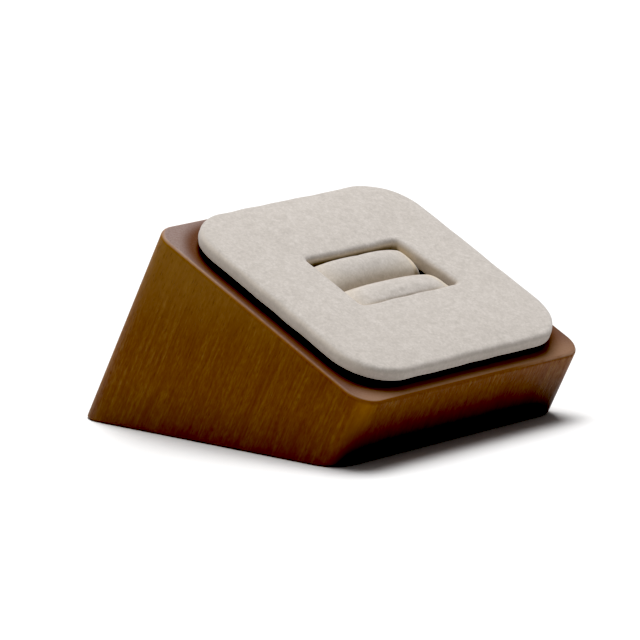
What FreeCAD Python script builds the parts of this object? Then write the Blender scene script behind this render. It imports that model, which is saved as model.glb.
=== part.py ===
import FreeCAD, Part
import math
import os
import Sketcher
from FreeCAD import Placement, Rotation, Vector

# Ring display stand: a wooden block that leans forward, with a flat foot and a sloping top.
# A padded board floats over the top on a spacer, and two soft cushions fill its window.
# A ring is pushed into the slit between the cushions.
#
# Frame: millimetres, +Z up, the front (the low, overhanging side) towards -Y, +X to the right.
# The origin is on the table, under the middle of the stand.
# The sloping top has a frame of its own: X across, Y up the slope, Z out of the wood.

SIZES = [
    ("block_width", 50.0, "wood, left side to right side"),
    ("block_depth", 47.7, "wood, measured up the sloping top"),
    ("front_height", 10.3, "table to the front edge of the top"),
    ("top_slope", 26.3, "degrees, the top against the table"),
    ("lean_angle", 29.0, "degrees, the sides' long edges against the vertical"),
    ("long_edge_radius", 4.0, "the four leaning edges"),
    ("rim_break", 0.6, "rounding of the edge round the top"),
    ("foot_break", 0.4, "bevel of the edge round the foot"),
    ("pocket_depth", 8.0, "wood, below the top"),
    ("pocket_corner_radius", 1.0, "router cutter in the pocket's corners"),
    ("pad_side_inset", 1.9, "bare wood on the pad's left and on its right"),
    ("pad_front_inset", 2.1, "bare wood in front of the pad"),
    ("pad_back_inset", 2.9, "bare wood behind the pad"),
    ("pad_gap", 1.0, "dark gap between wood and pad"),
    ("pad_corner_radius", 8.5, "pad, seen from above"),
    ("pad_top_round", 1.0, "upper edge of the covered pad"),
    ("pad_under_break", 0.5, "bevel of the covered pad's lower edge"),
    ("board_thickness", 1.3, "stiff board inside the pad"),
    ("cover_thickness", 0.5, "microfibre"),
    ("outer_return", 5.0, "cover turned under the board's outer edge"),
    ("window_return", 2.5, "cover turned under the board's window edge"),
    ("riser_clearance", 0.3, "spacer to the turned-under cover"),
    ("window_width", 20.0, "finished window, across"),
    ("window_depth", 12.6, "finished window, up the slope"),
    ("window_corner_radius", 0.6, "finished window, seen from above"),
    ("window_round", 0.7, "upper edge of the finished window"),
    ("roll_clearance", 0.2, "cushion to the window's and the pocket's walls"),
    ("slit_gap", 0.2, "between the two cushions"),
    ("roll_drop", 0.1, "cushion's crest below the pad's top"),
    ("roll_end_round", 1.3, "cushion's rounded ends"),
]
size = {name: value for name, value, note in SIZES}

doc = FreeCAD.newDocument("ring_display_stand")
sheet = doc.addObject("Spreadsheet::Sheet", "sizes")
for row, (name, value, note) in enumerate(SIZES, start=1):
    sheet.set("A%d" % row, name)
    sheet.set("B%d" % row, str(value))
    sheet.set("C%d" % row, note)
    sheet.setAlias("B%d" % row, name)
doc.recompute()

# Formulas that more than one piece uses
SLOPE = "(sizes.top_slope * 1 deg)"
LEAN = "(sizes.lean_angle * 1 deg)"
TOP_REACH = "(sizes.block_depth * cos(%s))" % SLOPE
TOP_RISE = "(sizes.block_depth * sin(%s))" % SLOPE
BACK_HEIGHT = "(sizes.front_height + %s)" % TOP_RISE
FRONT_LEAN = "(sizes.front_height * tan(%s))" % LEAN
BACK_LEAN = "(%s * tan(%s))" % (BACK_HEIGHT, LEAN)
HALF_REACH = "((%s + %s) / 2)" % (TOP_REACH, BACK_LEAN)
TOP_MIDDLE_Y = "(%s / 2 - %s)" % (TOP_REACH, HALF_REACH)
TOP_MIDDLE_Z = "(sizes.front_height + %s / 2)" % TOP_RISE
PAD_WIDTH = "(sizes.block_width - 2 * sizes.pad_side_inset)"
PAD_DEPTH = "(sizes.block_depth - sizes.pad_front_inset - sizes.pad_back_inset)"
PAD_PLACE = "((sizes.pad_front_inset - sizes.pad_back_inset) / 2)"
PAD_THICKNESS = "(sizes.board_thickness + 2 * sizes.cover_thickness)"
BOARD_BASE = "(sizes.pad_gap + sizes.cover_thickness)"
ROLL_WIDTH = "((sizes.window_depth - 2 * sizes.roll_clearance - sizes.slit_gap) / 2)"
ROLL_LENGTH = "(sizes.window_width - 2 * sizes.roll_clearance)"
ROLL_CREST = "(sizes.pad_gap + %s - sizes.roll_drop)" % PAD_THICKNESS
ROLL_PLACE = "((%s + sizes.slit_gap) / 2)" % ROLL_WIDTH


def origin_plane(body, role):
    return [item for item in body.Origin.OriginFeatures if item.Role == role][0]


def new_sketch(body, name, role):
    sketch = body.newObject("Sketcher::SketchObject", name)
    sketch.AttachmentSupport = [(origin_plane(body, role), "")]
    sketch.MapMode = "FlatFace"
    return sketch


def bound(sketch, kind, ends, formula):
    """One dimension of a sketch, worked out by a formula."""
    value = float(sketch.evalExpression(formula))
    index = sketch.addConstraint(Sketcher.Constraint(kind, *ends, value))
    sketch.setExpression("Constraints[%d]" % index, formula)


def closed_loop(sketch, corners):
    """Straight lines through the corners, joined end to end."""
    count = len(corners)
    for start, end in zip(corners, corners[1:] + corners[:1]):
        sketch.addGeometry(Part.LineSegment(Vector(*start, 0), Vector(*end, 0)))
    for line in range(count):
        sketch.addConstraint(Sketcher.Constraint("Coincident", line, 2, (line + 1) % count, 1))


def rectangle(body, name, width, depth, level=None, place=None):
    """A rectangle about the middle of the body's XY plane, or raised to a level or moved up the slope."""
    sketch = new_sketch(body, name, "XY_Plane")
    closed_loop(sketch, [(-1, -1), (1, -1), (1, 1), (-1, 1)])
    for line in (0, 2):
        sketch.addConstraint(Sketcher.Constraint("Horizontal", line))
    for line in (1, 3):
        sketch.addConstraint(Sketcher.Constraint("Vertical", line))
    sketch.addConstraint(Sketcher.Constraint("Symmetric", 0, 1, 2, 1, -1, 1))
    bound(sketch, "DistanceX", (0, 1, 0, 2), width)
    bound(sketch, "DistanceY", (1, 1, 1, 2), depth)
    if level:
        sketch.setExpression("AttachmentOffset.Base.z", level)
    if place:
        sketch.setExpression("AttachmentOffset.Base.y", place)
    return sketch


def extruded(body, name, sketch, length, symmetric=False):
    pad = body.newObject("PartDesign::Pad", name)
    pad.Profile = sketch
    pad.SideType = "Symmetric" if symmetric else "One side"
    pad.setExpression("Length", length)
    doc.recompute()
    return pad


def cut_through(body, name, sketch):
    """A pocket both ways through the body."""
    pocket = body.newObject("PartDesign::Pocket", name)
    pocket.Profile = sketch
    pocket.Type = "ThroughAll"
    pocket.SideType = "Symmetric"
    doc.recompute()
    return pocket


def rounded(body, name, base, edges, radius):
    """A fillet on those edges of the feature before it."""
    fillet = body.newObject("PartDesign::Fillet", name)
    fillet.Base = (base, edges)
    fillet.setExpression("Radius", radius)
    doc.recompute()
    return fillet


def bevelled(body, name, base, edges, width):
    """A flat bevel on those edges of the feature before it."""
    bevel = body.newObject("PartDesign::Chamfer", name)
    bevel.Base = (base, edges)
    bevel.setExpression("Size", width)
    doc.recompute()
    return bevel


def straight_edges_along(feature, direction, keep=lambda edge: True):
    """Names of the straight edges that run along a direction of the body."""
    names = []
    for number, edge in enumerate(feature.Shape.Edges, start=1):
        run = edge.lastVertex().Point - edge.firstVertex().Point
        straight = isinstance(edge.Curve, Part.Line)
        if straight and run.cross(direction).Length < 1e-6 * run.Length and keep(edge):
            names.append("Edge%d" % number)
    return names


def wire_edges(feature, wire):
    """Names of the edges of a feature that make up one wire."""
    return ["Edge%d" % number for number, edge in enumerate(feature.Shape.Edges, start=1)
            if any(edge.isSame(other) for other in wire.Edges)]


def face_towards(feature, direction):
    """The flat face that looks along a direction and lies furthest that way."""
    flat = [face for face in feature.Shape.Faces
            if isinstance(face.Surface, Part.Plane) and face.normalAt(0, 0).dot(direction) > 1 - 1e-6]
    return max(flat, key=lambda face: face.CenterOfMass.dot(direction))


def on_the_slope(label):
    """A body in the frame of the sloping top."""
    body = doc.addObject("PartDesign::Body", label)
    body.Placement = Placement(Vector(), Rotation(Vector(1, 0, 0), size["top_slope"]))
    body.setExpression("Placement.Rotation.Angle", SLOPE)
    body.setExpression("Placement.Base.y", TOP_MIDDLE_Y)
    body.setExpression("Placement.Base.z", TOP_MIDDLE_Z)
    return body


def cut_from(label, base, tool):
    cut = doc.addObject("Part::Cut", label)
    cut.Base = base
    cut.Tool = tool
    doc.recompute()
    return cut


UP = Vector(0, 0, 1)
slope_turn = Rotation(Vector(1, 0, 0), size["top_slope"])
lean_turn = Rotation(Vector(1, 0, 0), size["lean_angle"])


# Wooden block: its side view drawn on the middle plane, extruded across, then cut and rounded

def side_view(body):
    """Foot, back, top and front, with the front's top corner furthest forward."""
    sketch = new_sketch(body, "side_view", "YZ_Plane")
    deep, low = size["block_depth"], size["front_height"]
    closed_loop(sketch, [(-deep / 2, 0), (deep * 2 / 3, 0), (deep / 4, low + deep / 2), (-deep * 2 / 3, low)])
    for end in (1, 2):
        sketch.addConstraint(Sketcher.Constraint("PointOnObject", 0, end, -1))
    bound(sketch, "DistanceX", (3, 1, -1, 1), HALF_REACH)
    bound(sketch, "DistanceY", (-1, 1, 3, 1), "sizes.front_height")
    bound(sketch, "DistanceX", (3, 1, 0, 1), FRONT_LEAN)
    bound(sketch, "DistanceX", (3, 1, 2, 1), TOP_REACH)
    bound(sketch, "DistanceY", (3, 1, 2, 1), TOP_RISE)
    bound(sketch, "DistanceX", (2, 1, 0, 2), BACK_LEAN)
    return sketch


def wood_block():
    body = doc.addObject("PartDesign::Body", "wood_block")
    block = extruded(body, "leaning_block", side_view(body), "sizes.block_width", symmetric=True)
    long_edges = straight_edges_along(block, lean_turn.multVec(UP))
    block = rounded(body, "long_edges", block, long_edges, "sizes.long_edge_radius")

    mouth = rectangle(body, "pocket_mouth", "sizes.window_width", "sizes.window_depth")
    mouth.AttachmentOffset = Placement(Vector(), slope_turn)
    mouth.setExpression("AttachmentOffset.Rotation.Angle", SLOPE)
    mouth.setExpression("AttachmentOffset.Base.y", TOP_MIDDLE_Y)
    mouth.setExpression("AttachmentOffset.Base.z", TOP_MIDDLE_Z)
    pocket = body.newObject("PartDesign::Pocket", "cushion_pocket")
    pocket.Profile = mouth
    pocket.setExpression("Length", "sizes.pocket_depth")
    doc.recompute()
    corners = straight_edges_along(pocket, slope_turn.multVec(UP))
    block = rounded(body, "pocket_corners", pocket, corners, "sizes.pocket_corner_radius")

    rim = wire_edges(block, face_towards(block, slope_turn.multVec(UP)).OuterWire)
    block = rounded(body, "top_rim", block, rim, "sizes.rim_break")
    foot = wire_edges(block, face_towards(block, -UP).OuterWire)
    bevelled(body, "foot_rim", block, foot, "sizes.foot_break")
    return body


# Plates that follow the sloping top: spacer, board and pad

def plate(label, width, depth, level, thickness, corner_radius):
    body = on_the_slope(label)
    outline = rectangle(body, label + "_outline", width, depth, level, PAD_PLACE)
    feature = extruded(body, label + "_plate", outline, thickness)
    if corner_radius:
        corners = straight_edges_along(feature, UP)
        feature = rounded(body, label + "_corners", feature, corners, corner_radius)
    return body, feature


def window(body, label, feature, width, depth, corner_radius):
    """A rounded window through a plate."""
    inside = cut_through(body, label + "_window", rectangle(body, label + "_window_outline", width, depth))
    reach = Vector(size["window_width"], size["window_depth"], 0).Length
    corners = straight_edges_along(inside, UP, lambda edge: edge.CenterOfMass.sub(
        UP * edge.CenterOfMass.z).Length < reach)
    return rounded(body, label + "_window_corners", inside, corners, corner_radius)


def ring_plate(label, grown):
    """The spacer's ring between the two turned-under margins, or the space left for it."""
    outer = "%s - 2 * (sizes.outer_return + %s)"
    inner = "%s + 2 * (sizes.cover_thickness + sizes.window_return + %s)"
    body, feature = plate(label, outer % (PAD_WIDTH, grown), outer % (PAD_DEPTH, grown), None,
                          BOARD_BASE, "sizes.pad_corner_radius / 2")
    window(body, label, feature, inner % ("sizes.window_width", grown),
           inner % ("sizes.window_depth", grown), "sizes.window_corner_radius")
    return body


def pad_board():
    inside = "%s - 2 * sizes.cover_thickness"
    body, feature = plate("pad_board", inside % PAD_WIDTH, inside % PAD_DEPTH, BOARD_BASE,
                          "sizes.board_thickness", "sizes.pad_corner_radius - sizes.cover_thickness")
    hole = "%s + 2 * sizes.cover_thickness"
    window(body, "pad_board", feature, hole % "sizes.window_width", hole % "sizes.window_depth",
           "sizes.window_corner_radius + sizes.cover_thickness")
    return body


def pad_cover(board):
    """The outside of the wrapped pad, less the board and less the bare middle of its underside."""
    body, feature = plate("pad_outside", PAD_WIDTH, PAD_DEPTH, "sizes.pad_gap", PAD_THICKNESS,
                          "sizes.pad_corner_radius")
    upper = wire_edges(feature, face_towards(feature, UP).OuterWire)
    feature = rounded(body, "pad_top_edge", feature, upper, "sizes.pad_top_round")
    lower = wire_edges(feature, face_towards(feature, -UP).OuterWire)
    feature = bevelled(body, "pad_under_edge", feature, lower, "sizes.pad_under_break")
    feature = window(body, "pad_outside", feature, "sizes.window_width", "sizes.window_depth",
                     "sizes.window_corner_radius")
    top = face_towards(feature, UP)
    inner_wire = min(top.Wires, key=lambda wire: wire.Length)
    rounded(body, "window_edge", feature, wire_edges(feature, inner_wire), "sizes.window_round")
    wrapped = cut_from("pad_wrap", body, board)
    return cut_from("pad_cover", wrapped, ring_plate("bare_underside", "0"))


# Cushions: a strip with a half-round crest and flat sides, in a cover with rounded ends

def cushion_strip(label, side, inset):
    """side is +1 for the rear cushion and -1 for the front one."""
    body = on_the_slope(label)
    sketch = new_sketch(body, label + "_section", "YZ_Plane")
    half = size["window_depth"] / 4
    near, far, base = side * half - half, side * half + half, -size["pocket_depth"]
    sketch.addGeometry(Part.LineSegment(Vector(near, base, 0), Vector(far, base, 0)))
    sketch.addGeometry(Part.LineSegment(Vector(far, base, 0), Vector(far, 0, 0)))
    sketch.addGeometry(Part.ArcOfCircle(Part.Circle(Vector(side * half, 0, 0), UP, half), 0, math.pi))
    sketch.addGeometry(Part.LineSegment(Vector(near, 0, 0), Vector(near, base, 0)))
    sketch.addConstraint(Sketcher.Constraint("Coincident", 0, 2, 1, 1))
    sketch.addConstraint(Sketcher.Constraint("Tangent", 1, 2, 2, 1))
    sketch.addConstraint(Sketcher.Constraint("Tangent", 2, 2, 3, 1))
    sketch.addConstraint(Sketcher.Constraint("Coincident", 3, 2, 0, 1))
    sketch.addConstraint(Sketcher.Constraint("Horizontal", 0))
    for line in (1, 3):
        sketch.addConstraint(Sketcher.Constraint("Vertical", line))
    bound(sketch, "DistanceX", (0, 1, 0, 2), "%s - 2 * %s" % (ROLL_WIDTH, inset))
    bound(sketch, "DistanceY", (0, 1, -1, 1), "sizes.pocket_depth")
    bound(sketch, "DistanceY", (0, 1, 2, 3),
          "sizes.pocket_depth + %s - %s / 2" % (ROLL_CREST, ROLL_WIDTH))
    across = (-1, 1, 2, 3) if side > 0 else (2, 3, -1, 1)
    bound(sketch, "DistanceX", across, ROLL_PLACE)
    strip = extruded(body, label + "_strip", sketch, "%s - 2 * %s" % (ROLL_LENGTH, inset), symmetric=True)
    return body, strip


def cushion(name, side):
    """The foam strip, and its cover, which leaves only the strip's underside bare."""
    core, strip = cushion_strip("roll_%s_core" % name, side, "sizes.cover_thickness")
    outside, strip = cushion_strip("roll_%s_outside" % name, side, "0")
    ends = []
    for direction in (Vector(1, 0, 0), Vector(-1, 0, 0)):
        end = face_towards(strip, direction)
        ends += [edge for edge in wire_edges(strip, end.OuterWire)
                 if strip.Shape.getElement(edge).CenterOfMass.z > strip.Shape.BoundBox.ZMin + 1e-6]
    rounded(outside, "roll_%s_ends" % name, strip, ends, "sizes.roll_end_round")
    return core, cut_from("roll_%s_cover" % name, outside, core)


board = pad_board()
parts = {
    "wood_block": wood_block(),
    "riser_board": ring_plate("riser_board", "sizes.riser_clearance"),
    "pad_board": board,
    "pad_cover": pad_cover(board),
}
for name, side in (("back", 1), ("front", -1)):
    parts["roll_%s_core" % name], parts["roll_%s_cover" % name] = cushion(name, side)

doc.recompute()
for item in doc.Objects:
    if "Invalid" in item.State or "Error" in item.State:
        raise RuntimeError("%s did not build: %s" % (item.Label, item.State))
for label, item in parts.items():
    item.Label = label
    if item.Shape.isNull() or not item.Shape.isValid() or len(item.Shape.Solids) != 1:
        raise RuntimeError("%s is not one sound solid" % label)

os.makedirs("parts", exist_ok=True)
for label, item in parts.items():
    item.Shape.exportStep("parts/%s.step" % label)
    box = item.Shape.optimalBoundingBox()
    print("%-16s volume %9.1f  x %6.2f %6.2f  y %6.2f %6.2f  z %6.2f %6.2f" % (
        label, item.Shape.Volume, box.XMin, box.XMax, box.YMin, box.YMax, box.ZMin, box.ZMax))
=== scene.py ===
import math
import bpy
import numpy as np
from mathutils import Matrix, Vector


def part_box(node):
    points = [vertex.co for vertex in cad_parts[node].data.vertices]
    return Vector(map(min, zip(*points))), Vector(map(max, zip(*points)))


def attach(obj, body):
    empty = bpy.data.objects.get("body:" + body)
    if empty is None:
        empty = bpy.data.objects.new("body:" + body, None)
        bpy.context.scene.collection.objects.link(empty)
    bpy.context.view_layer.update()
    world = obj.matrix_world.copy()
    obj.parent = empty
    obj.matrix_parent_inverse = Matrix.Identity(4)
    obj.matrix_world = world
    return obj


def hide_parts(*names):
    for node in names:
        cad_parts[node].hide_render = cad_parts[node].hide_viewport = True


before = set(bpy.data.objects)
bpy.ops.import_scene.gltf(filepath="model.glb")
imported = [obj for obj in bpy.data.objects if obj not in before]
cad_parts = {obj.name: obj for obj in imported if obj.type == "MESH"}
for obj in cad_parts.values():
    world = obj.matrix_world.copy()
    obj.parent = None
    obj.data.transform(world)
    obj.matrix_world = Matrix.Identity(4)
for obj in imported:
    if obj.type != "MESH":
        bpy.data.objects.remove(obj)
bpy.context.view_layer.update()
print("frame loaded:", ", ".join(sorted(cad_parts)))

mm = 0.001


# The sloping top: x across, y up the slope, z out of the wood

slope = {
    "angle": math.radians(26.3),  # the top against the table
    "lean": math.radians(29.0),  # the long edges against the vertical
    "boardPlace": Vector((0, -0.4, 2.15)) * mm,  # middle of the stiff board, from the middle of the top
}
boardLow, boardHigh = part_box("pad_board")
slopeTurn = Matrix.Rotation(slope["angle"], 3, "X")
topMiddle = (boardLow + boardHigh) / 2 - slopeTurn @ slope["boardPlace"]


def fromSlope(points):  # slope coordinates in millimetres to the frame's metres
    return points * mm @ np.array(slopeTurn).T + np.array(topMiddle)


# Mesh helpers

def meshPiece(name, points, faces, smooth=True):
    mesh = bpy.data.meshes.new(name)
    mesh.from_pydata(points.tolist(), [], [list(face) for face in faces])
    mesh.polygons.foreach_set("use_smooth", np.full(len(mesh.polygons), smooth))
    mesh.update()
    piece = bpy.data.objects.new(name, mesh)
    bpy.context.scene.collection.objects.link(piece)
    return piece


def readPoints(mesh, what="co"):  # the vertices' places, or their normals, a row each
    numbers = np.zeros(len(mesh.vertices) * 3, np.float32)
    mesh.vertices.foreach_get(what, numbers)
    return numbers.reshape(-1, 3)


def movePoints(mesh, points):
    mesh.vertices.foreach_set("co", points.astype(np.float32).ravel())
    mesh.update()


def gridFaces(rows, columns):
    # Quads of a grid of rows by columns, whose last column joins the first.
    row = np.arange(rows - 1)[:, None] * columns
    column = np.arange(columns)[None, :]
    right = (column + 1) % columns
    corners = [row + column, row + right, row + columns + right, row + columns + column]
    return np.stack(corners, axis=-1).reshape(-1, 4)


def facesOutwards(points, faces, middle):
    # True where most faces look away from the middle.
    corners = points[faces]
    normals = np.cross(corners[:, 2] - corners[:, 0], corners[:, 3] - corners[:, 1])
    return ((corners.mean(axis=1) - middle) * normals).sum() > 0


def waves(seed, count, shortest, longest):
    # A smooth random field: a sum of plane waves with random directions, lengths and phases.
    random = np.random.default_rng(seed)
    directions = random.normal(size=(count, 3))
    directions /= np.linalg.norm(directions, axis=1)[:, None]
    lengths = random.uniform(shortest, longest, count)
    phases = random.uniform(0, 2 * math.pi, count)

    def field(points):
        angles = points @ (directions * (2 * math.pi / lengths)[:, None]).T + phases
        return np.sin(angles).sum(axis=1) / math.sqrt(count / 2)

    return field


def addClothThickness(piece, thickness):  # a cloth's outer face gets its inner one
    cloth = piece.modifiers.new("clothThickness", "SOLIDIFY")
    cloth.thickness = thickness * mm
    cloth.offset = -1


def inflated(piece, settings, held):
    # The points of the piece after its cloth has been blown up a little and has settled.
    # The cloth solver works on a copy that is enlarged, because it is tuned for larger things.
    mesh = piece.data.copy()
    rest = readPoints(mesh).astype(float)
    enlarged = (rest - rest.mean(axis=0)) * settings["enlarge"]
    movePoints(mesh, enlarged)
    blown = bpy.data.objects.new(piece.name + "_blown", mesh)
    scene = bpy.context.scene
    scene.collection.objects.link(blown)
    group = blown.vertex_groups.new(name="held")
    for level in np.unique(held):
        group.add(np.flatnonzero(held == level).tolist(), float(level), "REPLACE")
    cloth = blown.modifiers.new("cloth", "CLOTH")
    fabric = cloth.settings
    fabric.quality = settings["quality"]
    fabric.mass = settings["mass"]
    fabric.tension_stiffness = fabric.compression_stiffness = settings["stiffness"]
    fabric.shear_stiffness = settings["stiffness"] / 3  # cloth gives way more easily on the bias
    fabric.bending_stiffness = settings["bending"]
    fabric.use_pressure = True
    fabric.uniform_pressure_force = settings["pressure"]
    fabric.vertex_group_mass = group.name
    fabric.effector_weights.gravity = 0
    cloth.collision_settings.use_collision = False
    cloth.point_cache.frame_start = 1
    cloth.point_cache.frame_end = settings["frames"]
    for number in range(1, settings["frames"] + 1):
        scene.frame_set(number)
    evaluated = blown.evaluated_get(bpy.context.evaluated_depsgraph_get())
    settled = readPoints(evaluated.data).astype(float)
    bpy.data.objects.remove(blown)
    scene.frame_set(1)
    moved = (settled - enlarged) / settings["enlarge"]
    far = np.linalg.norm(moved, axis=1)
    print("  %s: the cloth moved up to %.2f mm" % (piece.name, far.max() / mm))
    tiny = 1e-9  # keeps a point that didn't move from being divided by nothing
    moved *= (np.minimum(far, settings["most"]) / np.maximum(far, tiny))[:, None]
    return rest + moved


# Material helpers

def linear(red, green, blue):  # a picture's colour, 0 to 255, to the renderer's own by the sRGB curve
    shares = np.array([red, green, blue]) / 255
    low = shares / 12.92
    high = ((shares + 0.055) / 1.055) ** 2.4
    return (*np.where(shares <= 0.04045, low, high).tolist(), 1.0)


def newMaterial(name, fixed):
    material = bpy.data.materials.new(name)
    material.use_nodes = True
    tree = material.node_tree
    shader = tree.nodes["Principled BSDF"]
    for socket, value in fixed.items():
        shader.inputs[socket].default_value = value
    return material, tree, shader


def feed(tree, socket, value):  # a number, a colour or another node's output
    if isinstance(value, bpy.types.NodeSocket):
        tree.links.new(value, socket)
    else:
        socket.default_value = value


def place(tree, vector, scale=(1, 1, 1), turn=(0, 0, 0), shift=(0, 0, 0)):
    node = tree.nodes.new("ShaderNodeMapping")
    feed(tree, node.inputs["Vector"], vector)
    node.inputs["Scale"].default_value = scale
    node.inputs["Rotation"].default_value = turn
    node.inputs["Location"].default_value = shift
    return node.outputs["Vector"]


def noise(tree, vector, stretch, fineness, detail=2.0, roughness=0.5, distortion=0.0):
    # A noise layer. Its numbers stand in this order wherever a dictionary below gives a layer.
    node = tree.nodes.new("ShaderNodeTexNoise")
    feed(tree, node.inputs["Vector"], place(tree, vector, stretch))
    node.inputs["Scale"].default_value = fineness
    node.inputs["Detail"].default_value = detail
    node.inputs["Roughness"].default_value = roughness
    node.inputs["Distortion"].default_value = distortion
    return node.outputs["Fac"]


def maths(tree, operation, first, second=0.0):
    node = tree.nodes.new("ShaderNodeMath")
    node.operation = operation
    feed(tree, node.inputs[0], first)
    feed(tree, node.inputs[1], second)
    return node.outputs[0]


def product(tree, first, second):
    return maths(tree, "MULTIPLY", first, second)


def weighted(tree, *layers):  # the sum of some layers, each a value and its share
    terms = [product(tree, value, share) for value, share in layers]
    total = terms[0]
    for term in terms[1:]:
        total = maths(tree, "ADD", total, term)
    return total


def between(tree, value, span, result=(0.0, 1.0)):  # a span of the value carried to another, smoothly
    node = tree.nodes.new("ShaderNodeMapRange")
    node.interpolation_type = "SMOOTHSTEP"
    feed(tree, node.inputs["Value"], value)
    for socket, number in zip(("From Min", "From Max", "To Min", "To Max"), (*span, *result)):
        node.inputs[socket].default_value = number
    return node.outputs["Result"]


def ramp(tree, value, stops, colours):
    node = tree.nodes.new("ShaderNodeValToRGB")
    feed(tree, node.inputs["Fac"], value)
    points = node.color_ramp.elements
    while len(points) < len(stops):
        points.new(0.5)
    for point, stop, colour in zip(points, stops, colours):
        point.position = stop
        point.color = colour
    return node.outputs["Color"]


def mixed(tree, share, first, second):
    node = tree.nodes.new("ShaderNodeMix")
    node.data_type = "RGBA"
    feed(tree, node.inputs["Factor"], share)
    feed(tree, node.inputs[6], first)  # the colour sockets have the same names as the numbers' ones
    feed(tree, node.inputs[7], second)
    return node.outputs[2]


def bumped(tree, height, distance, below=None):
    node = tree.nodes.new("ShaderNodeBump")
    node.inputs["Strength"].default_value = 1.0
    node.inputs["Distance"].default_value = distance
    feed(tree, node.inputs["Height"], height)
    if below is not None:
        feed(tree, node.inputs["Normal"], below)
    return node.outputs["Normal"]


def coordinates(tree, kind="Object"):
    node = tree.nodes.new("ShaderNodeTexCoord")
    return node.outputs[kind]


def inMillimetres(tree, turn=(0, 0, 0)):  # where a point lies in the frame
    return place(tree, coordinates(tree), (1 / mm,) * 3, turn=turn)


def parts(tree, vector):
    node = tree.nodes.new("ShaderNodeSeparateXYZ")
    feed(tree, node.inputs[0], vector)
    return node.outputs


def slopeVector(tree):  # where a point lies against the sloping top, in millimetres
    moved = place(tree, coordinates(tree), (1 / mm,) * 3, shift=[-c / mm for c in topMiddle])
    return place(tree, moved, turn=(-slope["angle"], 0, 0))


def slopeNormal(tree):  # which way the surface looks, against the sloping top
    return parts(tree, place(tree, coordinates(tree, "Normal"), turn=(-slope["angle"], 0, 0)))


def outlineDistance(tree, vector, halfWidth, halfDepth, radius):
    # How far outside a rectangle with round corners a point lies, in the vector's x and y.
    sides = []
    for along, half in zip(parts(tree, vector)[:2], (halfWidth, halfDepth)):
        sides.append(maths(tree, "SUBTRACT", maths(tree, "ABSOLUTE", along), half - radius))
    beyond = [maths(tree, "POWER", maths(tree, "MAXIMUM", side, 0.0), 2.0) for side in sides]
    outside = maths(tree, "SQRT", maths(tree, "ADD", *beyond))
    within = maths(tree, "MINIMUM", maths(tree, "MAXIMUM", *sides), 0.0)
    return maths(tree, "SUBTRACT", maths(tree, "ADD", outside, within), radius)


# The covered pad, in millimetres of the slope's coordinates

padSize = {
    "width": 46.2, "depth": 42.7, "corner": 8.4,
    "place": -0.4,  # middle of the pad, up the slope
    "under": 1.0, "top": 3.25,  # underside and top, above the wood
    "topRound": 0.95, "underRound": 0.55,
    "puff": 0.15,  # how much higher the top is at the window
    "windowWidth": 19.7, "windowDepth": 12.4, "windowCorner": 0.5,
    "windowRound": 0.85, "windowUnder": 0.35,  # its upper and its lower edge
    "windowAcross": 0.3, "windowUp": 0.1,  # middle of the window
    "flare": 1.85, "flarePower": 0.55,  # the pull on the window's front right corner
    "outerReturn": 5.0, "windowReturn": 1.0,  # cloth turned under
    "thickness": 0.45,
    "unevenEdge": 0.05, "edgeWaves": (3, 9, 4.0, 13.0),  # waves: seed, count, shortest, longest
    "unevenTop": 0.015, "topWaves": (5, 12, 3.0, 9.0),
    "gathers": 0.05, "gatherWaves": (8, 5, 2.0, 6.0),
    "gatherCount": 40,  # in a whole turn
    "gatherTop": 0.4, "gatherFade": 1.4,  # they start at this share of the upper round, and grow over this
    "boardPlay": 0.06, "boardEase": 0.15,  # the stiff board inside the cover
    "cornerSteps": 18, "sideSteps": 38,  # points round an outline
    "topSteps": 17, "topRoundSteps": 9, "underRoundSteps": 6, "outerWallSteps": 4, "outerReturnSteps": 6,
    "windowRoundSteps": 7, "windowUnderSteps": 5, "windowWallSteps": 5, "windowReturnSteps": 5,
    "boardRoundSteps": 6,
}


# Wood of the block: grain along the lean with a fine mottle, short dark pores, painted shade at the foot,
# a sawn top painted pale as a reflection and brown as shade, a painted highlight on the rim and painted black
# shade under the pad

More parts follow.
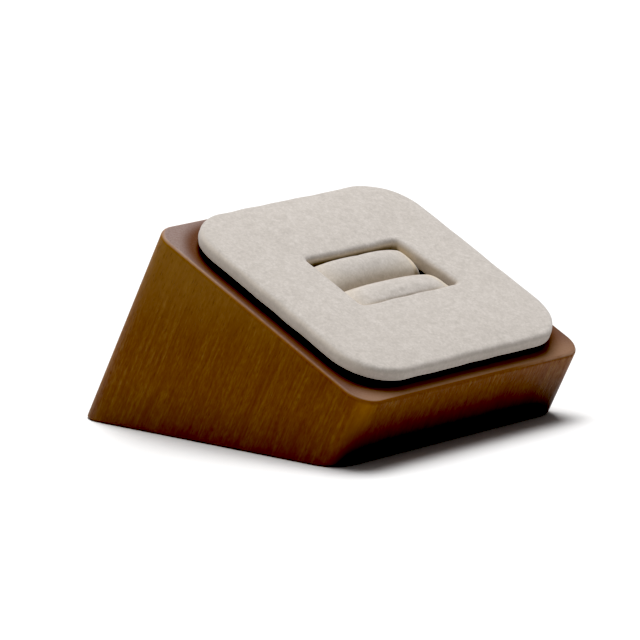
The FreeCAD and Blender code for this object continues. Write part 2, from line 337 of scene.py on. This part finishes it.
woodLook = {
    "deep": linear(105, 58, 25),
    "warm": linear(120, 74, 31),
    "golden": linear(136, 94, 39),
    "figureStops": (0.32, 0.5, 0.68),
    "bands": ((1, 1, 0.06), 0.45, 1.0, 0.5, 0.5), "bandsShare": 0.25,
    "streaks": ((1, 1, 0.07), 2.0, 1.0, 0.5, 0.3), "streaksShare": 0.45,
    "mottle": ((1, 1, 0.6), 1.1, 3.0, 0.6, 0.3), "mottleShare": 0.3,
    "fibres": ((1, 1, 0.3), 3.0, 2.0, 0.6), "fibresSpan": (0.35, 0.65), "fibresShare": 0.45,
    "fibreDepth": 0.006 * mm,
    "pore": linear(60, 28, 12),
    "pores": ((1, 1, 0.14), 5.0, 1.0, 0.5), "poresSpan": (0.62, 0.72), "poresShare": 0.35,
    "poreDepth": 0.015 * mm,
    "roughnessSpan": (0.3, 0.7), "roughness": (0.44, 0.58),  # follows the fibres
    # Painted light: the sides get paler upwards
    "high": linear(148, 108, 50), "upperLightSpan": (12 * mm, 30 * mm), "upperLightShare": 0.6,
    # A painted highlight on the rounded long edges, found by how far the surface looks sideways
    "edge": linear(156, 106, 42), "edgeHighlightShare": 0.5, "edgeHighlightBegins": (0.1, 0.55), "edgeHighlightEnds": (0.6, 0.98),
    # Shade at the foot of the sides and of the front
    "foot": linear(56, 28, 12),
    "footSide": 0.35, "footSideHeight": 9 * mm,
    "footFront": 1.0, "footFrontHeight": 13 * mm, "frontFacing": (-0.8, -0.2),
    # The sawn top, in millimetres up the slope and out from the pad's outline, with a painted reflection and
    # painted shade
    # Painted reflection: the top is paler where it mirrors the bright surroundings
    "top": linear(145, 127, 121), "topFacing": (0.90, 0.985),
    "speckle": ((1, 1, 1), 4.0, 2.0, 0.6), "speckleSpan": (0.35, 0.75), "speckleShare": 0.35,
    # Painted shade: brown beside the pad; painted light: a lighter golden tone at the front
    "topBrown": linear(92, 56, 34), "brownUp": (-25.0, 22.0), "paleLeast": 0.2, "brownOut": (0.4, 3.0),
    "topFront": linear(136, 102, 76), "frontUp": (-23.0, -18.5),
    # Painted black shade under the pad's edge
    "padShadow": linear(10, 6, 4), "padShadowOut": (-1.3, 0.1),
    # The rim's painted highlight, by how far the surface looks out of the top and by millimetres below, up
    # and across it
    "rim": linear(150, 120, 100), "rimFront": linear(116, 75, 40),
    "rimFacing": (0.4, 0.8), "rimBelow": (-0.75, -0.25), "rimUp": (-2.0, 20.0), "rimAcross": (5.0, 22.0),
    # Noise that breaks the painted rim highlight into patches
    "patchyRimHighlight": ((1, 1, 1), 0.8, 3.0, 0.6), "rimHighlightSpan": (0.3, 0.6), "rimHighlightShares": (0.6, 1.0),
}


def woodColour(tree, look, fibres, pores, grain):
    # The colour of the sides: figure, fibres and pores, with painted light paler upwards, a painted highlight
    # at the long edges and painted shade darker at the foot.
    bands = noise(tree, grain, *look["bands"])
    streaks = noise(tree, grain, *look["streaks"])
    mottle = noise(tree, grain, *look["mottle"])
    figure = weighted(tree, (bands, look["bandsShare"]), (streaks, look["streaksShare"]),
                      (mottle, look["mottleShare"]))
    colour = ramp(tree, figure, look["figureStops"], (look["deep"], look["warm"], look["golden"]))
    fibrous = between(tree, fibres, look["fibresSpan"], (0.0, look["fibresShare"]))
    colour = mixed(tree, fibrous, colour, look["deep"])
    up = parts(tree, coordinates(tree))[2]
    # Painted light: paler towards the top of the sides
    colour = mixed(tree, between(tree, up, look["upperLightSpan"], (0.0, look["upperLightShare"])), colour, look["high"])
    colour = mixed(tree, product(tree, pores, look["poresShare"]), colour, look["pore"])

    normal = parts(tree, coordinates(tree, "Normal"))
    # Painted highlight on the rounded long edges
    sideways = maths(tree, "ABSOLUTE", normal[0])
    begins = between(tree, sideways, look["edgeHighlightBegins"])
    ends = between(tree, sideways, look["edgeHighlightEnds"], (1.0, 0.0))
    edge = product(tree, product(tree, begins, ends), look["edgeHighlightShare"])
    colour = mixed(tree, edge, colour, look["edge"])

    side = between(tree, up, (0.0, look["footSideHeight"]), (look["footSide"], 0.0))
    front = between(tree, up, (0.0, look["footFrontHeight"]), (look["footFront"], 0.0))
    forwards = between(tree, normal[1], look["frontFacing"], (1.0, 0.0))
    low = maths(tree, "MAXIMUM", side, product(tree, front, forwards))
    return mixed(tree, low, colour, look["foot"])


def topColour(tree, look, onSlope, outwards):
    # The colour of the sawn top: a pale painted reflection, speckled, at the back, painted brown shade beside
    # the pad, painted light making it golden in front.
    up = parts(tree, onSlope)[1]
    speckle = noise(tree, inMillimetres(tree), *look["speckle"])
    speckled = between(tree, speckle, look["speckleSpan"], (0.0, look["speckleShare"]))
    pale = mixed(tree, speckled, look["top"], look["deep"])
    brown = mixed(tree, between(tree, up, look["frontUp"]), look["topFront"], look["topBrown"])
    upwards = between(tree, up, look["brownUp"], (look["paleLeast"], 1.0))
    return mixed(tree, product(tree, upwards, between(tree, outwards, look["brownOut"])), brown, pale)


# Painted highlight on the rim's rounding
def rimColour(tree, look, onSlope):  # paler at the back and at the right
    across, up = parts(tree, onSlope)[:2]
    share = maths(tree, "MAXIMUM", between(tree, up, look["rimUp"]), between(tree, across, look["rimAcross"]))
    return mixed(tree, share, look["rimFront"], look["rim"])


def woodMaterial(look, pad):
    material, tree, shader = newMaterial("walnutSatin", {
        "Specular IOR Level": 0.22, "IOR": 1.45, "Coat Weight": 0.0})
    grain = inMillimetres(tree, turn=(-slope["lean"], 0, 0))  # z along the lean
    fibres = noise(tree, grain, *look["fibres"])
    pores = between(tree, noise(tree, grain, *look["pores"]), look["poresSpan"])
    colour = woodColour(tree, look, fibres, pores, grain)

    onSlope = slopeVector(tree)
    facing = slopeNormal(tree)[2]
    # Painted highlight on the rim's rounding, in patches
    rounding = product(tree, between(tree, parts(tree, onSlope)[2], look["rimBelow"]),
                       between(tree, facing, look["rimFacing"]))
    rimHighlightNoise = noise(tree, inMillimetres(tree), *look["patchyRimHighlight"])
    patchyRimHighlight = product(tree, rounding, between(tree, rimHighlightNoise, look["rimHighlightSpan"], look["rimHighlightShares"]))
    colour = mixed(tree, patchyRimHighlight, colour, rimColour(tree, look, onSlope))

    onPad = place(tree, onSlope, shift=(0, -pad["place"], 0))
    outwards = outlineDistance(tree, onPad, pad["width"] / 2, pad["depth"] / 2, pad["corner"])
    # Painted reflection and painted shade on the top
    onTop = between(tree, facing, look["topFacing"])
    colour = mixed(tree, onTop, colour, topColour(tree, look, onSlope, outwards))
    # Painted black shade under the pad's edge
    padShadowed = product(tree, between(tree, outwards, look["padShadowOut"], (1.0, 0.0)), onTop)
    feed(tree, shader.inputs["Base Color"], mixed(tree, padShadowed, colour, look["padShadow"]))
    feed(tree, shader.inputs["Roughness"], between(tree, fibres, look["roughnessSpan"], look["roughness"]))
    fine = bumped(tree, fibres, look["fibreDepth"])
    solid = maths(tree, "SUBTRACT", 1.0, pores)
    feed(tree, shader.inputs["Normal"], bumped(tree, solid, look["poreDepth"], below=fine))
    return material


# Hidden boards: a black spacer, whose black stands in for shade in the gap under the pad, and raw fibreboard

boardLook = {
    "spacer": (linear(22, 18, 16), linear(34, 28, 24)),
    "padBoard": (linear(142, 116, 84), linear(170, 146, 112)),
    "flecks": ((1, 0.35, 1), 2.6, 4.0, 0.65, 0.5), "fleckStops": (0.35, 0.68),
    "fleckDepth": 0.02 * mm,
}


def fibreboardMaterial(name, look, colours):
    material, tree, shader = newMaterial(name, {"Roughness": 0.85, "Specular IOR Level": 0.2})
    flecks = noise(tree, inMillimetres(tree), *look["flecks"])
    feed(tree, shader.inputs["Base Color"], ramp(tree, flecks, look["fleckStops"], colours))
    feed(tree, shader.inputs["Normal"], bumped(tree, flecks, look["fleckDepth"]))
    return material


# Microfibre: a dense short nap, brushed in patches, with a soft sheen

fabricLook = {
    "shade": linear(178, 171, 164),
    "middle": linear(190, 183, 176),
    "light": linear(203, 196, 190),
    "toneStops": (0.34, 0.5, 0.66),
    "nap": ((1, 1, 1), 2.2, 2.0, 0.6, 0.6), "napTone": 0.5, "napHeight": 0.7,
    "hairs": ((1, 0.7, 1), 7.0, 2.0, 0.6), "hairsTone": 0.12, "hairsHeight": 0.3,
    "patches": ((1, 1, 1), 0.6, 3.0, 0.6, 0.8), "patchesTone": 0.38,
    "sheen": 0.35,
    "napDepth": 0.018 * mm,
    "patchDepth": 0.02 * mm,
    # Painted light on the pad's outer sides and painted shade on its front, which starts some millimetres out
    # from the window
    "sideLight": linear(214, 200, 182), "sideLightShare": 0.4, "sideLightFacing": (0.35, 0.95),
    "front": linear(150, 136, 122), "frontShadeShare": 0.3, "frontFacing": (-0.95, -0.35), "frontShadeOut": (2.0, 4.0),
    # Warm light in the window, in millimetres above the wood and out from the window's outline
    "recess": linear(232, 212, 176), "recessHeight": (2.0, 3.2), "recessShare": 0.55,
    "recessRolls": 0.3,  # share of that tone on the cushions
    "recessWall": (-0.8, -0.1), "windowEnds": (0.2, 1.2),
    # Shade where the cushions meet the window's wall
    "crevice": linear(96, 80, 56), "creviceShare": 0.6,
    "creviceHeight": (1.2, 1.9), "creviceWall": (-0.9, -0.1),
    "creviceBehind": 0.75, "behindUp": (4.5, 6.0),  # how much higher it starts at the back, and where
}


def microfibreMaterial(look, pad):
    material, tree, shader = newMaterial("microfibreNap", {
        "Roughness": 0.95, "Specular IOR Level": 0.1, "Sheen Weight": look["sheen"],
        "Sheen Roughness": 0.5, "Sheen Tint": linear(250, 250, 252)})
    here = inMillimetres(tree)
    nap = noise(tree, here, *look["nap"])
    hairs = noise(tree, here, *look["hairs"])
    patches = noise(tree, here, *look["patches"])
    tone = weighted(tree, (nap, look["napTone"]), (patches, look["patchesTone"]), (hairs, look["hairsTone"]))
    colour = ramp(tree, tone, look["toneStops"], (look["shade"], look["middle"], look["light"]))

    onSlope = slopeVector(tree)
    up, height = parts(tree, onSlope)[1:]
    onWindow = place(tree, onSlope, shift=(-pad["windowAcross"], 0, 0))
    outwards = outlineDistance(tree, onWindow, pad["windowWidth"] / 2, pad["windowDepth"] / 2,
                               pad["windowCorner"])
    normal = slopeNormal(tree)
    # Painted light on faces that look sideways
    sideways = maths(tree, "ABSOLUTE", normal[0])
    sideLit = between(tree, sideways, look["sideLightFacing"], (0.0, look["sideLightShare"]))
    colour = mixed(tree, sideLit, colour, look["sideLight"])
    # Painted shade on faces that look forwards, outside the window
    forwards = between(tree, normal[1], look["frontFacing"], (look["frontShadeShare"], 0.0))
    frontShaded = product(tree, forwards, between(tree, outwards, look["frontShadeOut"]))
    colour = mixed(tree, frontShaded, colour, look["front"])

    within = between(tree, outwards, look["windowEnds"], (1.0, 0.0))
    deep = between(tree, height, look["recessHeight"], (look["recessShare"], 0.0))
    wall = between(tree, outwards, look["recessWall"], (look["recessRolls"], 1.0))
    colour = mixed(tree, product(tree, deep, product(tree, wall, within)), colour, look["recess"])
    behind = between(tree, up, look["behindUp"], (0.0, look["creviceBehind"]))
    level = maths(tree, "SUBTRACT", height, behind)
    low = between(tree, level, look["creviceHeight"], (look["creviceShare"], 0.0))
    atWall = product(tree, between(tree, outwards, look["creviceWall"]), within)
    colour = mixed(tree, product(tree, low, atWall), colour, look["crevice"])
    feed(tree, shader.inputs["Base Color"], colour)

    brushed = bumped(tree, patches, look["patchDepth"])
    napped = weighted(tree, (nap, look["napHeight"]), (hairs, look["hairsHeight"]))
    feed(tree, shader.inputs["Normal"], bumped(tree, napped, look["napDepth"], below=brushed))
    return material


# Foam of the cushions

foamLook = {
    "dark": linear(196, 190, 170), "pale": linear(226, 221, 205), "stops": (0.1, 0.6),
    "cells": 2.4,  # to a millimetre
    "cellDepth": 0.05 * mm,
}


def foamMaterial(look):
    material, tree, shader = newMaterial("cushionFoam", {"Roughness": 0.9, "Specular IOR Level": 0.15})
    cells = tree.nodes.new("ShaderNodeTexVoronoi")
    feed(tree, cells.inputs["Vector"], inMillimetres(tree))
    cells.inputs["Scale"].default_value = look["cells"]
    fromCell = cells.outputs["Distance"]
    feed(tree, shader.inputs["Base Color"], ramp(tree, fromCell, look["stops"], (look["dark"], look["pale"])))
    feed(tree, shader.inputs["Normal"], bumped(tree, fromCell, look["cellDepth"]))
    return material


materials = {
    "wood": woodMaterial(woodLook, padSize),
    "spacer": fibreboardMaterial("blackFibreboard", boardLook, boardLook["spacer"]),
    "board": fibreboardMaterial("rawFibreboard", boardLook, boardLook["padBoard"]),
    "microfibre": microfibreMaterial(fabricLook, padSize),
    "foam": foamMaterial(foamLook),
}
for nodeName, look in (("wood_block", "wood"), ("riser_board", "spacer")):
    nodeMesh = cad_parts[nodeName].data
    nodeMesh.materials.clear()
    nodeMesh.materials.append(materials[look])
print("materials made:", ", ".join(materials))


# Pad cover: microfibre wrapped over the board, round its outer edge and down into the window

padCloth = {
    "enlarge": 20, "quality": 5, "mass": 0.4, "stiffness": 12, "bending": 2.0, "pressure": 1.2, "frames": 16,
    "most": 0.22 * mm,
    "gluedWithin": 0.02,  # of the underside, in millimetres
    "outerHeld": 0.9, "windowHeld": 0.95,  # how firmly the board's edges hold the cloth
}


def roundedOutline(halfWidth, halfDepth, radius, cornerSteps, sideSteps):
    # Round a rectangle with round corners, as points and outward directions.
    # Each side is a straight run of equal steps and each corner a quarter turn of equal angles.
    points, outward = [], []
    for quarter in range(4):
        turn = quarter * math.pi / 2
        reach, run = (halfWidth, halfDepth) if quarter % 2 == 0 else (halfDepth, halfWidth)
        along = (np.arange(sideSteps) / sideSteps * 2 - 1) * (run - radius)
        side = np.stack([np.full(sideSteps, reach), along], axis=1)
        angles = np.arange(cornerSteps) / cornerSteps * math.pi / 2
        bend = np.stack([np.cos(angles), np.sin(angles)], axis=1)
        corner = np.array([reach - radius, run - radius]) + radius * bend
        spin = np.array([[math.cos(turn), math.sin(turn)], [-math.sin(turn), math.cos(turn)]])
        points.append(np.concatenate([side, corner]) @ spin)
        outward.append(np.concatenate([np.tile([1.0, 0.0], (sideSteps, 1)), bend]) @ spin)
    return np.concatenate(points), np.concatenate(outward)


def quarterRound(radius, steps):
    # Inset and drop of a quarter circle, from its upper end to its outer one.
    angles = np.linspace(0, 1, steps) * math.pi / 2
    return radius * (1 - np.sin(angles)), radius * (1 - np.cos(angles))


def padProfile(pad):
    # Stations across the wrapped band: which outline it follows (0 window, 1 outer edge),
    # how far in from that outline and how high above the wood.
    under, top = pad["under"], pad["top"]
    crest = top + pad["puff"]
    rows = [(1.0, pad["outerReturn"] * (1 - s) + pad["underRound"] * s, under)
            for s in np.linspace(0, 1, pad["outerReturnSteps"])[:-1]]
    inset, rise = quarterRound(pad["underRound"], pad["underRoundSteps"])
    rows += [(1.0, i, under + d) for i, d in zip(inset, rise)]
    wall = np.linspace(under + pad["underRound"], top - pad["topRound"], pad["outerWallSteps"])[1:-1]
    rows += [(1.0, 0.0, z) for z in wall]
    inset, drop = quarterRound(pad["topRound"], pad["topRoundSteps"])
    rows += [(1.0, i, top - d) for i, d in zip(inset[::-1], drop[::-1])]
    rows += [(s, pad["topRound"] * s - pad["windowRound"] * (1 - s), top + pad["puff"] * (1 - s ** 3))
             for s in np.linspace(1, 0, pad["topSteps"])[1:-1]]
    inset, drop = quarterRound(pad["windowRound"], pad["windowRoundSteps"])
    rows += [(0.0, -i, crest - d) for i, d in zip(inset, drop)]
    wall = np.linspace(crest - pad["windowRound"], under + pad["windowUnder"], pad["windowWallSteps"])[1:-1]
    rows += [(0.0, 0.0, z) for z in wall]
    inset, rise = quarterRound(pad["windowUnder"], pad["windowUnderSteps"])
    rows += [(0.0, -i, under + d) for i, d in zip(inset[::-1], rise[::-1])]
    rows += [(0.0, -pad["windowUnder"] * (1 - s) - pad["windowReturn"] * s, under)
             for s in np.linspace(0, 1, pad["windowReturnSteps"])[1:]]
    print("  pad profile: %d stations, %.1f mm thick" % (len(rows), top - under))
    return np.array(rows)


def flared(pad, x, y):
    # The pull on the window's right side: it grows with x and with a power of the way to the front.
    side = np.clip(2 * x / pad["windowWidth"], 0, 1)
    front = np.clip(0.5 - y / pad["windowDepth"], 0, 1) ** pad["flarePower"]
    return pad["flare"] * side * front


def padSurface(pad, profile):
    # The band's station curve carried round the two outlines:
    # point(u, v) = window(u) * (1 - share(v)) + outer(u) * share(v) - inset(v) * outward(u), at height(v).
    steps = pad["cornerSteps"], pad["sideSteps"]
    outer, outerOut = roundedOutline(pad["width"] / 2, pad["depth"] / 2, pad["corner"], *steps)
    inner, innerOut = roundedOutline(pad["windowWidth"] / 2, pad["windowDepth"] / 2,
                                     pad["windowCorner"], *steps)
    outer = outer + [0.0, pad["place"]]
    inner = inner + [pad["windowAcross"], pad["windowUp"]]
    share, inset, height = profile.T[:, :, None]
    across = inner[None] * (1 - share)[..., None] + outer[None] * share[..., None]
    across[..., 0] += flared(pad, inner[:, 0], inner[:, 1]) * (1 - share)
    outward = innerOut[None] * (1 - share)[..., None] + outerOut[None] * share[..., None]
    outward /= np.linalg.norm(outward, axis=-1)[..., None]
    across = across - outward * inset[..., None]
    points = np.concatenate([across, np.broadcast_to(height[..., None], across.shape[:2] + (1,))], axis=-1)
    return points, outward, share[:, 0], height[:, 0]


def padUnevenness(pad, points, outward, onEdge, height):
    # What the cloth adds to a point: waves and gathers along its outward direction at the edges,
    # and waves upwards. The gathers are sin(count * angle + waves), strongest in a corner's middle
    # and on the lower wall.
    edgeUneven = waves(*pad["edgeWaves"])(points) * pad["unevenEdge"] * onEdge
    topUneven = waves(*pad["topWaves"])(points) * pad["unevenTop"]
    angles = np.arctan2(outward[:, 1], outward[:, 0])
    inCorner = np.abs(np.sin(2 * angles)) ** 2  # 1 in the middle of a corner, 0 along the sides
    start = pad["top"] - pad["topRound"] * pad["gatherTop"]
    low = np.clip((start - height) / pad["gatherFade"], 0, 1)
    ripple = np.sin(angles * pad["gatherCount"] + waves(*pad["gatherWaves"])(points))
    push = edgeUneven + ripple * pad["gathers"] * inCorner * low * onEdge
    return np.concatenate([push[:, None] * outward, topUneven[:, None]], axis=1)


def padCover(pad, clothing):
    points, outward, share, height = padSurface(pad, padProfile(pad))
    rows, columns = points.shape[:2]
    share, height = np.repeat(share, columns), np.repeat(height, columns)
    atOuter, atWindow = share == 1, share == 0
    flat = points.reshape(-1, 3)
    onEdge = (atOuter | atWindow).astype(float)
    flat = flat + padUnevenness(pad, flat, outward.reshape(-1, 2), onEdge, height)
    faces = gridFaces(rows, columns)
    # The faces' direction is tested on one part of the band, round a point inside it
    middle = np.array([0.0, (pad["depth"] + pad["windowDepth"]) / 4, (pad["under"] + pad["top"]) / 2])
    nearMiddle = np.linalg.norm(flat[faces].mean(axis=1)[:, :2] - middle[:2], axis=1) < pad["windowDepth"]
    if not facesOutwards(flat, faces[nearMiddle], middle):
        faces = faces[:, ::-1]
    piece = meshPiece("padCover", fromSlope(flat), faces)
    held = (height < pad["under"] + clothing["gluedWithin"]).astype(float)
    held = np.maximum(held, atOuter * clothing["outerHeld"])
    held = np.maximum(held, atWindow * clothing["windowHeld"])
    movePoints(piece.data, inflated(piece, clothing, held))
    smoother = piece.modifiers.new("smoother", "SUBSURF")
    smoother.levels = smoother.render_levels = 1
    addClothThickness(piece, pad["thickness"])
    piece.data.materials.append(materials["microfibre"])
    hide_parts("pad_cover")
    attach(piece, "root")


def boardProfile(pad):
    # Stations once round the stiff board's section: the cover's inside, with eased edges.
    skin = pad["thickness"] + pad["boardPlay"]
    low, high, small = pad["under"] + skin, pad["top"] - skin, pad["boardEase"]
    inset, drop = quarterRound(pad["topRound"] - skin, pad["boardRoundSteps"])
    rows = [(1.0, skin + small, low), (1.0, skin, low + small)]
    rows += [(1.0, skin + i, high - d) for i, d in zip(inset[::-1], drop[::-1])]
    inset, drop = quarterRound(pad["windowRound"] - skin, pad["boardRoundSteps"])
    rows += [(0.0, -skin - i, high - d) for i, d in zip(inset, drop)]
    rows += [(0.0, -skin, low + small), (0.0, -skin - small, low)]
    return np.array(rows)


def padBoard(pad):
    points = padSurface(pad, boardProfile(pad))[0]
    rows, columns = points.shape[:2]
    faces = gridFaces(rows + 1, columns) % (rows * columns)  # the last station joins the first
    flat = points.reshape(-1, 3)
    outerWall = faces[:columns]
    if not facesOutwards(flat, outerWall, flat.mean(axis=0)):
        faces = faces[:, ::-1]
    piece = meshPiece("padBoard", fromSlope(flat), faces, smooth=False)
    piece.data.materials.append(materials["board"])
    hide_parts("pad_board")
    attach(piece, "root")


padCover(padSize, padCloth)
padBoard(padSize)
print("pad cover and board made")


# Cushions: a strip with a half-round crest and closed, rounded ends, blown up where it is free

rollSize = {
    "names": ("back", "front"),
    "width": (5.9, 6.2), "wallRound": (1.8, 0.8), "seed": (11, 17),  # back cushion, front cushion
    "length": 19.9,
    "across": 0.32,  # how far right the upper part sits, as the window does
    "gap": 0.15,  # between the two
    "crest": 3.3, "bottom": -8.0,  # against the wood's top
    "sunkFit": 0.97, "freeFrom": -1.0, "freeOver": 1.2,  # slimmer below the wood's top, full above
    "slitAcross": 3.9, "slitDown": 3.2, "bottomRound": 0.4,
    "endPower": 36.0, "sidePower": 8.0, "endShrink": 0.8, "bodyShare": 0.9, "endLeast": 0.03,
    "endDrop": 1.2, "dropPower": 2.8,
    "lengthSteps": 72, "endSteps": 14, "roundSteps": 96, "arcSteps": 24, "slitSteps": 48,
    "uneven": 0.005, "unevenWaves": (10, 2.5, 8.0),  # waves: count, shortest, longest
    "unevenShares": (0.02, 0.3, 0.2),  # along the cushion, across it and upwards
    "cover": 0.45,  # the cloth's thickness
    "openWithin": 0.01,  # of the bottom, where the cover has no cloth
}
rollCloth = {
    "enlarge": 40, "quality": 6, "mass": 0.4, "stiffness": 10, "bending": 1.0, "pressure": 2.0, "frames": 16,
    "most": 0.2 * mm,
    "heldFrom": -1.0, "heldOver": 2.0,  # the wood holds it below, and the hold fades upwards
}


def arc(middle, across, up, first, last, steps):  # part of an ellipse, by angles in degrees
    angles = np.radians(np.linspace(first, last, steps))
    return np.stack([middle[0] + across * np.cos(angles), middle[1] + up * np.sin(angles)], axis=1)


def rollSection(roll, which):
    # Once round the section from the middle of its bottom, in equal steps. y is 0 at the slit and the
    # width at the wall. The wall side is upright with a round, the slit side a quarter ellipse.
    wide, tight, steps = roll["width"][which], roll["wallRound"][which], roll["arcSteps"]
    low, high, small = roll["bottom"], roll["crest"], roll["bottomRound"]
    slit = roll["slitAcross"], roll["slitDown"]
    line = np.concatenate([
        [[wide / 2, low]],
        arc((wide - small, low + small), small, small, -90, 0, steps),
        arc((wide - tight, high - tight), tight, tight, 0, 90, steps),
        arc((slit[0], high - slit[1]), *slit, 90, 180, roll["slitSteps"]),
        arc((small, low + small), small, small, 180, 270, steps),
        [[wide / 2, low]]])
    run = np.concatenate([[0], np.cumsum(np.linalg.norm(np.diff(line, axis=0), axis=1))])
    even = np.linspace(0, run[-1], roll["roundSteps"], endpoint=False)
    return np.interp(even, run, line[:, 0]), np.interp(even, run, line[:, 1])


def rollSurface(roll, which, pad):
    # The section carried along x and drawn in towards its middle at the ends, on the curve
    # |x / half length|^endPower + shrink^sidePower = 1. The crest drops with a power of x.
    # Below the wood's top the whole is a little slimmer, to fit its pocket.
    body = np.linspace(-roll["bodyShare"], roll["bodyShare"], roll["lengthSteps"])
    bodyShrink = (1 - np.abs(body) ** roll["endPower"]) ** (1 / roll["sidePower"])
    endShrink = np.linspace(bodyShrink[-1], roll["endLeast"], roll["endSteps"] + 1)[1:]
    end = (1 - endShrink ** roll["sidePower"]) ** (1 / roll["endPower"])
    x = np.concatenate([-end[::-1], body, end]) * roll["length"] / 2
    shrink = np.concatenate([endShrink[::-1], bodyShrink, endShrink])
    y, z = rollSection(roll, which)
    middleY, middleZ = roll["width"][which] / 2, (roll["crest"] + roll["bottom"]) / 2
    drop = roll["endDrop"] * np.abs(2 * x / roll["length"]) ** roll["dropPower"]
    upper = np.clip(z / roll["crest"], 0, 1)
    z = middleZ + (shrink ** roll["endShrink"])[:, None] * (z - middleZ)[None] - drop[:, None] * upper[None]
    y = middleY + shrink[:, None] * (y - middleY)[None]
    side = 1 if which == 0 else -1
    free = np.clip((z - roll["freeFrom"]) / roll["freeOver"], 0, 1)
    free = free * free * (3 - 2 * free)
    slim = roll["sunkFit"] + (1 - roll["sunkFit"]) * free
    y = side * (y * slim + roll["gap"] / 2)
    x = np.broadcast_to(x[:, None], y.shape)
    return np.stack([x + (roll["across"] + flared(pad, x, y)) * free, y, z], axis=-1)


def cushion(which, roll, clothing, pad):
    # The cover is the settled surface, and the core is the same drawn in by the cloth's thickness.
    name = roll["names"][which]
    points = rollSurface(roll, which, pad)
    rows, columns = points.shape[:2]
    poles = points[[0, -1]].mean(axis=1)
    flat = points.reshape(-1, 3)
    centre = flat.mean(axis=0)
    uneven = waves(roll["seed"][which], *roll["unevenWaves"])(flat) * roll["uneven"]
    flat = flat + uneven[:, None] * (flat - centre) * np.array(roll["unevenShares"])
    quads = gridFaces(rows, columns)
    around = np.arange(columns)
    after = (around + 1) % columns
    lastRow = (rows - 1) * columns
    caps = np.concatenate([
        np.stack([np.full(columns, len(flat)), after, around], axis=1),
        np.stack([np.full(columns, len(flat) + 1), lastRow + around, lastRow + after], axis=1)])
    flat = np.concatenate([flat, poles])
    if not facesOutwards(flat, quads, centre):
        quads, caps = quads[:, ::-1], caps[:, ::-1]
    settled = fromSlope(flat)
    core = meshPiece("rollCore_" + name, settled, [*quads.tolist(), *caps.tolist()])
    free = np.clip((flat[:, 2] - clothing["heldFrom"]) / clothing["heldOver"], 0, 1)
    settled = inflated(core, clothing, np.round(1 - free, 1))
    movePoints(core.data, settled)
    movePoints(core.data, settled - readPoints(core.data, "normal") * roll["cover"] * mm)
    underside = flat[quads][..., 2].max(axis=1) < roll["bottom"] + roll["openWithin"]
    cover = meshPiece("rollCover_" + name, settled, [*quads[~underside].tolist(), *caps.tolist()])
    addClothThickness(cover, roll["cover"])
    return cover, core


for which, name in enumerate(rollSize["names"]):
    cover, core = cushion(which, rollSize, rollCloth, padSize)
    for piece, node, look in ((cover, "cover", "microfibre"), (core, "core", "foam")):
        piece.data.materials.append(materials[look])
        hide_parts("roll_%s_%s" % (name, node))
        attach(piece, "root")
print("cushions made")


# Camera, floor and light

cameraPlace = {
    "at": (-567.0 * mm, -531.5 * mm, 175.5 * mm),
    "aim": (-2.0 * mm, 0.0, 15.5 * mm),
    "roll": math.radians(-0.91),
    "lens": 294.0, "sensor": 36.0,  # in millimetres
    "nearest": 0.05, "farthest": 50.0,
}
studio = {
    "world": 0.15,
    "keyAt": (0.10, 0.15, 1.2), "keyWide": 0.8, "keyPower": 20.0,
    "rimAt": (0.45, 1.0, 0.55), "rimWide": 0.5, "rimPower": 1.0,
    "black": 0.028,
    "floorWide": 8.0,
    "floor": 0.85, "floorVaries": 0.01, "floorStops": (0.3, 0.7),
    "dust": ((1, 1, 1), 0.02),
}


def studioCamera(settings):
    data = bpy.data.cameras.new("studioCamera")
    data.lens = settings["lens"]
    data.sensor_width = settings["sensor"]
    data.clip_start, data.clip_end = settings["nearest"], settings["farthest"]
    camera = bpy.data.objects.new("studioCamera", data)
    at, aim = Vector(settings["at"]), Vector(settings["aim"])
    turn = (aim - at).to_track_quat("-Z", "Y").to_matrix() @ Matrix.Rotation(settings["roll"], 3, "Z")
    camera.matrix_world = Matrix.Translation(at) @ turn.to_4x4()
    bpy.context.scene.collection.objects.link(camera)
    bpy.context.scene.camera = camera


def softLight(name, at, wide, power):
    data = bpy.data.lights.new(name, "AREA")
    data.shape = "SQUARE"
    data.size = wide
    data.energy = power
    light = bpy.data.objects.new(name, data)
    light.matrix_world = Matrix.Translation(at) @ (-Vector(at)).to_track_quat("-Z", "Y").to_matrix().to_4x4()
    bpy.context.scene.collection.objects.link(light)


def paleFloor(settings):
    corners = np.array([[-1, -1, 0], [1, -1, 0], [1, 1, 0], [-1, 1, 0]]) * settings["floorWide"] / 2
    floor = meshPiece("floor", corners, [[0, 1, 2, 3]], smooth=False)
    material, tree, shader = newMaterial("paleFloor", {"Roughness": 0.9, "Specular IOR Level": 0.1})
    dust = noise(tree, inMillimetres(tree), *settings["dust"])
    tones = settings["floor"] - settings["floorVaries"], settings["floor"] + settings["floorVaries"]
    greys = [(tone, tone, tone, 1.0) for tone in tones]
    feed(tree, shader.inputs["Base Color"], ramp(tree, dust, settings["floorStops"], greys))
    floor.data.materials.append(material)


studioCamera(cameraPlace)
softLight("keyLight", studio["keyAt"], studio["keyWide"], studio["keyPower"])
softLight("rimLight", studio["rimAt"], studio["rimWide"], studio["rimPower"])
world = bpy.data.worlds.new("studioWorld")
world.use_nodes = True
world.node_tree.nodes["Background"].inputs["Color"].default_value = (1.0, 1.0, 1.0, 1.0)
world.node_tree.nodes["Background"].inputs["Strength"].default_value = studio["world"]
bpy.context.scene.world = world
viewing = bpy.context.scene.view_settings
viewing.view_transform = "Standard"
viewing.use_curve_mapping = True
viewing.curve_mapping.black_level = [studio["black"]] * 3
viewing.curve_mapping.update()
paleFloor(studio)
print("studio ready")
